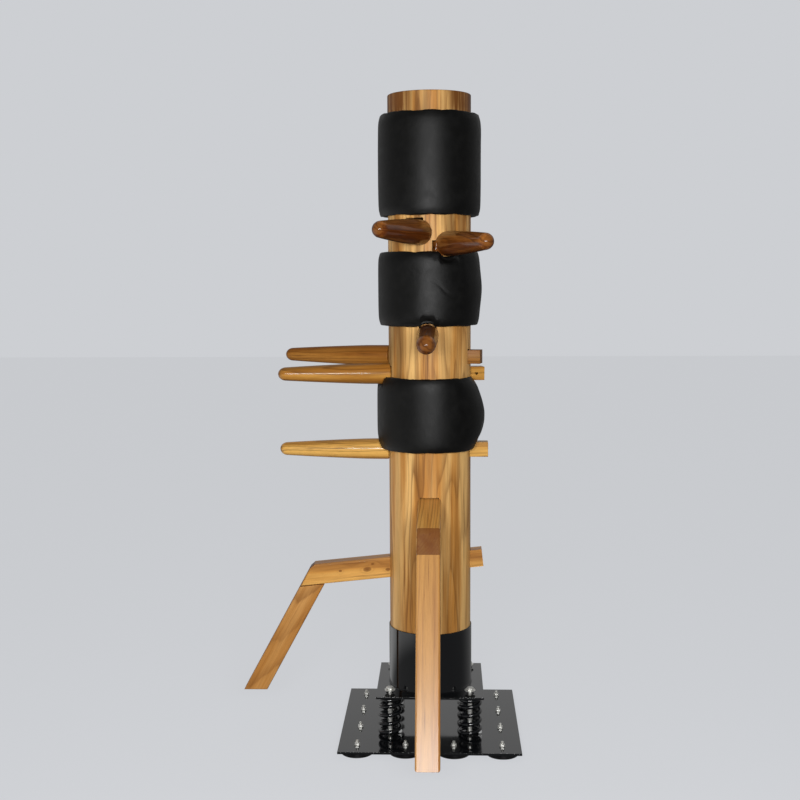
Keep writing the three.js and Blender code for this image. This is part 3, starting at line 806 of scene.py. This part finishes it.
def chest_swell(angle, height):
    right = max(0.0, math.cos(angle)) ** 2
    fold = (height - CREASE_HEIGHT) * 2.1 + (angle - CREASE_ANGLE)
    window = bell((angle - CREASE_ANGLE) / 0.28)
    crease = -1.2 * MM * bell(fold / 0.06) * window
    belly = 2.6 * MM * bell((height - 0.5) / 0.22)
    return crease + right * (belly - 4.5 * MM * (1 - bell((height - 0.5) / 0.35)))


def lower_swell(angle, height):
    right = max(0.0, math.cos(angle - 0.15)) ** 2
    belly = 3.0 * MM * bell((height - 0.46) / 0.30)
    above = max(0.0, (height - 0.45) / 0.55)
    below = max(0.0, (0.35 - height) / 0.35)
    taper = -26 * MM * above ** 1.7 - 13 * MM * below ** 1.6
    return right * (belly + taper) - 3.5 * MM * (1 - right) * max(0.0, -math.cos(angle))


pads = [
    dict(name="head", swell=head_swell),
    dict(name="chest", swell=chest_swell),
    dict(name="lower", swell=lower_swell),
]


def clear_of_limbs(x, y, low, high):
    """Where a pad's lower and upper edge must be at a place in plan, to pass round the limbs."""
    for limb in arms:
        back = limb["place"].inverted()
        (_, _), (right, left), (foot, head) = limb["tenon"]
        origin = limb["place"].translation
        reach = back @ Vector((x, y, origin.z))
        line = limb["place"] @ Vector((reach.x, 0, 0))
        if reach.x > limb["trunk_x"]:
            half, off, centre = limb["root"], reach.y, line.z
            rise = (half + CLEAR) * math.exp(-(abs(off) / (1.05 * half)) ** 3)
        else:
            half, off, centre = (head - foot) / 2, reach.y - (left + right) / 2, line.z + (head + foot) / 2
            rise = (half + CLEAR) * math.exp(-(off / (half + 30 * MM)) ** 6)
        if rise < 0.2 * MM:
            continue
        if abs(centre - low) < abs(centre - high):
            low = max(low, centre + rise)
        else:
            high = min(high, centre - rise)
    return low, high


def pad_rows(node, pad):
    """Rings of points: up the outside, over the rolled top edge, down the inside and round the foot."""
    foot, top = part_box(node)
    inner = TRUNK_R + 1.2 * MM
    outer = (top.x - foot.x) / 2 - 4.5 * MM
    roll = 9 * MM
    tall = top.z - foot.z
    walls = 44
    shape = [("outer", step / walls) for step in range(walls + 1)]
    shape += [("top", step / PAD_ROLL) for step in range(1, PAD_ROLL)]
    shape += [("inner", 1 - step / walls) for step in range(walls + 1)]
    shape += [("foot", step / PAD_ROLL) for step in range(1, PAD_ROLL)]
    rows = []
    for part, share in shape:
        row = []
        for step in range(PAD_AROUND):
            angle = 2 * math.pi * step / PAD_AROUND
            height = share if part in ("outer", "inner") else (1.0 if part == "top" else 0.0)
            from_end = min(height, 1 - height) * tall
            reach = outer + pad["swell"](angle, height) - 4 * MM * math.exp(-from_end / (9 * MM))
            thick = reach - inner
            edge = min(roll, thick / 2 - 0.5 * MM)
            radius, lift = reach, 0.0
            if part == "inner":
                radius = inner
            elif part == "top":
                turn = math.pi * share
                radius = inner + thick / 2 + thick / 2 * math.cos(turn)
                lift = edge * math.sin(turn)
            elif part == "foot":
                turn = math.pi * share
                radius = inner + thick / 2 - thick / 2 * math.cos(turn)
                lift = -edge * math.sin(turn)
            x = AXIS.x + radius * math.cos(angle)
            y = AXIS.y + radius * math.sin(angle)
            low, high = clear_of_limbs(x, y, foot.z, top.z)
            wave = 0.4 * MM * math.sin(5 * angle + 1) + 0.25 * MM * math.sin(11 * angle)
            low, high = low + edge + wave, high - edge + wave
            row.append((x, y, low + (high - low) * height + lift))
        rows.append(row)
    return rows, walls + 1


def puff_up(obj, pinned):
    """Blows the cover up as cloth that is held at its pinned points, and caps how far it moves."""
    rest = [vertex.co.copy() for vertex in obj.data.vertices]
    group = obj.vertex_groups.new(name="held")
    group.add(pinned, 1.0, "REPLACE")
    cloth = obj.modifiers.new("cloth", "CLOTH")
    settings = cloth.settings
    settings.quality = 5
    settings.mass = 0.35
    settings.tension_stiffness = 25
    settings.compression_stiffness = 25
    settings.shear_stiffness = 8
    settings.bending_stiffness = 0.6
    settings.use_pressure = True
    settings.uniform_pressure_force = 4
    settings.shrink_min = -0.035
    settings.vertex_group_mass = "held"
    settings.effector_weights.gravity = 0
    cloth.collision_settings.use_collision = False
    cloth.collision_settings.use_self_collision = False
    cloth.point_cache.frame_start = 1
    cloth.point_cache.frame_end = PUFF_STEPS
    for number in range(1, PUFF_STEPS + 1):
        bpy.context.scene.frame_set(number)
    bake_modifiers(obj)
    bpy.context.scene.frame_set(1)
    obj.vertex_groups.clear()
    for vertex, start in zip(obj.data.vertices, rest):
        move = vertex.co - start
        if move.length > PUFF_CAP:
            vertex.co = start + move * (PUFF_CAP / move.length)


def stitch_row(line):
    """Short arched stitches along a line of (point, normal)."""
    parts = []
    travelled = 0.0
    for (start, normal), (end, _) in zip(line, line[1:]):
        travelled += (end - start).length
        if travelled < STITCH_PITCH:
            continue
        travelled = 0.0
        along = (end - start).normalized()
        centre = start + normal * STITCH_LIFT
        path = []
        for share in (-1, -0.5, 0, 0.5, 1):
            rise = normal * (0.35 * MM * (1 - share * share))
            path.append(centre + along * (STITCH_PITCH * 0.36 * share) + rise)
        parts.append(tube("stitch", path, 0.45 * MM, 6))
    return parts


def build_flap(pad, cover, rows):
    """The closing flap at the back: part of the cover again, a little further out, with its stitches."""
    name = pad["name"]
    first, last = (int(PAD_AROUND * share) for share in FLAP_SPAN)
    normals = [vertex.normal.copy() for vertex in cover.data.vertices]
    points = [vertex.co.copy() for vertex in cover.data.vertices]
    inset = 1
    grid = []
    for row in range(inset, rows - inset):
        line = []
        for column in range(first, last + 1):
            index = row * PAD_AROUND + column
            line.append(points[index] + normals[index] * 1.0 * MM)
        grid.append(line)
    flap = grid_mesh(f"{name}_pad_flap", grid)
    thicken = flap.modifiers.new("thickness", "SOLIDIFY")
    thicken.thickness = 2.2 * MM
    thicken.offset = 0
    bake_modifiers(flap)
    face_outwards(flap)
    ease_edges(flap, 0.7 * MM, 2, 50)
    dress(flap, materials["leather"])
    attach(flap, "post")
    parts = []
    for column in (first + 1, last - 1):
        line = []
        for row in range(inset + 1, rows - inset - 1):
            index = row * PAD_AROUND + column
            for share in (0.0, 0.5):
                ahead = index + PAD_AROUND
                point = points[index].lerp(points[ahead], share)
                line.append((point, normals[index]))
        parts += stitch_row(line)
    stitches = merge(f"{name}_pad_stitches", parts)
    dress(stitches, materials["thread"])
    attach(stitches, "post")


def build_pad(pad):
    node = f"{pad['name']}_pad"
    rows, outside = pad_rows(node, pad)
    cover = grid_mesh(f"{node}_cover", rows, wrap_rows=True, wrap_columns=True)
    face_outwards(cover)
    inner_first = outside + PAD_ROLL - 1
    inner_last = inner_first + outside
    pinned = [row * PAD_AROUND + step for row in range(inner_first, inner_last) for step in range(PAD_AROUND)]
    puff_up(cover, pinned)
    cover.data.update()
    build_flap(pad, cover, outside)
    smooth = cover.modifiers.new("subdivision", "SUBSURF")
    smooth.levels = 1
    smooth.render_levels = 1
    bake_modifiers(cover)
    dress(cover, materials["leather"], 60)
    stand_in(cover, "post", node)


# ---- base ------------------------------------------------------------
def numbered(prefix, count):
    return [f"{prefix}_{index}" for index in range(1, count + 1)]


def hexagon(name, radius, low, high):
    """A chamfered hexagonal nut or head; radius is across the corners."""
    sides = 6
    chamfer = 0.14 * radius
    rim = 0.90
    rows = [(rim, low), (1.0, low + chamfer * 0.6), (1.0, high - chamfer * 0.6), (rim, high)]
    profile = [(0, low)] + [(radius * share, z) for share, z in rows] + [(0, high)]
    return lathe(name, profile, sides)


def thread_profile(radius, low, high, pitch):
    """(radius, z) points of a screw's ridges, with a chamfered tip."""
    depth = 0.55 * pitch
    turns = int((high - low) / pitch)
    points = [(0, low)]
    for turn in range(turns):
        start = low + turn * pitch
        points.append((radius - depth, start + 0.1 * pitch))
        points += [(radius, start + 0.45 * pitch), (radius, start + 0.6 * pitch)]
    return points + [(radius - depth, high - 0.2 * pitch), (radius - depth, high), (0, high)]


def washer(name, radius, low, high):
    edge = 0.3 * MM
    profile = [(0, low), (radius - edge, low), (radius, low + edge)]
    profile += [(radius, high - edge), (radius - edge, high), (0, high)]
    return lathe(name, profile, 40)


def place_copies(prefix, model, nodes, body, material, smooth=35):
    """One copy of a piece at each node's place, standing for that node."""
    dress(model, material, smooth)
    for index, node in enumerate(nodes, 1):
        copy = add_object(f"{prefix}_{index}", model.data)
        spot = middle(node)
        copy.location = (spot.x, spot.y, 0)
        stand_in(copy, body, node)
    bpy.data.objects.remove(model)


def build_cups():
    low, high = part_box("suction_cup_1")
    radius = (high.x - low.x) / 2
    top = high.z
    profile = [(0, 3.4 * MM), (12 * MM, 3.6 * MM), (26 * MM, 3.2 * MM), (36 * MM, 2.0 * MM)]
    profile += [(radius - 3.5 * MM, 0.3 * MM), (radius - 2.6 * MM, 0.0), (radius - 0.7 * MM, 0.0)]
    profile += [(radius, 0.7 * MM), (radius - 0.2 * MM, 1.6 * MM), (radius - 3 * MM, 2.6 * MM)]
    profile += [(radius - 7 * MM, 3.8 * MM), (33 * MM, 6.6 * MM), (26 * MM, 9.4 * MM)]
    profile += [(21 * MM, 11.0 * MM), (19 * MM, 11.6 * MM), (18.4 * MM, 12.4 * MM), (18 * MM, top - 0.5 * MM)]
    profile += [(17.4 * MM, top), (0, top)]
    cup = lathe("cup", profile, 72)
    cups = numbered("suction_cup", 12)
    place_copies("rubber_cup", cup, cups, "base", materials["rubber"], 50)


def build_studs():
    low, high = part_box("cup_stud_1")
    plate_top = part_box("base_plate")[1].z
    stud = lathe("stud", thread_profile(4 * MM, low.z, high.z, 1.25 * MM), 24)
    ring = washer("ring", 8.0 * MM, plate_top + 0.05 * MM, plate_top + 1.2 * MM)
    nut = hexagon("nut", 7.5 * MM, plate_top + 1.3 * MM, plate_top + 6.8 * MM)
    stud = merge("stud", [stud, ring, nut])
    place_copies("threaded_stud", stud, numbered("cup_stud", 12), "base", materials["zinc"], 25)


def build_bolts():
    low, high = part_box("spring_bolt_1")
    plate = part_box("base_plate")
    head_low = high.z - 7 * MM
    shank_low = low.z + 22 * MM
    shank = lathe("shank", [(0, shank_low), (6 * MM, shank_low), (6 * MM, head_low), (0, head_low)], 32)
    screw = lathe("screw", thread_profile(6 * MM, low.z, low.z + 24 * MM, 1.75 * MM), 32)
    ring = washer("ring", 15 * MM, head_low - 2.5 * MM, head_low)
    head = hexagon("head", 10 * MM, head_low, high.z)
    under = hexagon("under", 10 * MM, plate[0].z - 6.8 * MM, plate[0].z - 0.3 * MM)
    over = hexagon("over", 10 * MM, plate[1].z + 0.3 * MM, plate[1].z + 6.5 * MM)
    bolt = merge("bolt", [shank, screw, ring, head, under, over])
    place_copies("hex_bolt", bolt, numbered("spring_bolt", 4), "base", materials["zinc"], 25)


def build_springs():
    """Each coil is made as two pieces that meet at the rocking centre."""
    wire, turns, flat_turns, flat_pitch = 5.5 * MM, 5, 0.6, 4 * MM
    for index, node in enumerate(numbered("spring", 4), 1):
        low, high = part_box(node)
        spot = (low + high) / 2
        radius = (high.x - low.x) / 2 - wire
        start, end = low.z + wire, high.z - wire
        pitch = (end - start - 2 * flat_turns * flat_pitch) / (turns - 2 * flat_turns)
        steps = 52 * turns
        path = []
        for step in range(steps + 1):
            turn = turns * step / steps
            flat = min(turn, flat_turns) + max(turn - (turns - flat_turns), 0)
            z = start + flat * flat_pitch + (turn - flat) * pitch
            angle = 2 * math.pi * turn
            path.append(Vector((spot.x + radius * math.cos(angle), spot.y + radius * math.sin(angle), z)))
        half = steps // 2
        rock = (start + end) / 2
        plate_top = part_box("base_plate")[1].z
        plate_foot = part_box("top_plate")[0].z
        for part, points, bodies, span in (
            ("lower", path[: half + 1], ("base", "springs"), (plate_top, rock)),
            ("upper", path[half:], ("springs", "post"), (rock, plate_foot)),
        ):
            coil = tube(f"coil_{part}_{index}", points, wire, 18)
            dress(coil, materials["spring_black"], 50)
            if part == "lower":
                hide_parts(node)
            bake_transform(coil)


def build_sleeve():
    low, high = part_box("sleeve")
    radius = (high.x - low.x) / 2
    wall = 2.5 * MM
    inner = radius - wall
    foot = low.z
    edge = 0.9 * MM
    profile = [(inner, foot), (radius + 2.0 * MM, foot), (radius + 1.7 * MM, foot + 1.2 * MM)]
    profile += [(radius + 0.7 * MM, foot + 2.3 * MM), (radius, foot + 3.4 * MM), (radius, high.z - edge)]
    profile += rounded((radius - edge, high.z - edge), edge, 15, 90, 4)
    profile += [(inner + edge, high.z), (inner + 0.2 * MM, high.z - 0.6 * MM), (inner, high.z - 1.5 * MM)]
    sleeve = lathe("steel_sleeve", profile, 160, Matrix.Translation(AXIS))
    dress(sleeve, materials["enamel"])
    stand_in(sleeve, "post", "sleeve")


def build_plates():
    for node, body, name in (("base_plate", "base", "lower_plate"), ("top_plate", "post", "upper_plate")):
        plate = refined(node, name, 0.7 * MM, 3, 40)
        dress(plate, materials["enamel"], 50)
        stand_in(plate, body, node)
    screw = frame["nodes"]["anchor_screw"]
    screw.data.materials.clear()
    screw.data.materials.append(materials["zinc"])


# ---- build -----------------------------------------------------------
add_camera()
materials = {
    "leather": leather(),
    "thread": thread_cotton(),
    "enamel": gloss_black("black_enamel", 0.05, 0.5),
    "spring_black": gloss_black("spring_black", 0.12, 0.3),
    "zinc": zinc(),
    "rubber": rubber(),
}
add_studio()
build_trunk()
for arm in arms:
    build_arm(arm)
    build_pin(f"{arm['name']}_arm_pin", arm, materials["zinc"])
for leg in legs:
    build_leg(leg)
    build_pin(f"{leg['name']}_leg_pin", leg, materials["zinc"])
for pad in pads:
    build_pad(pad)
build_cups()
build_studs()
build_bolts()
build_springs()
build_sleeve()
build_plates()
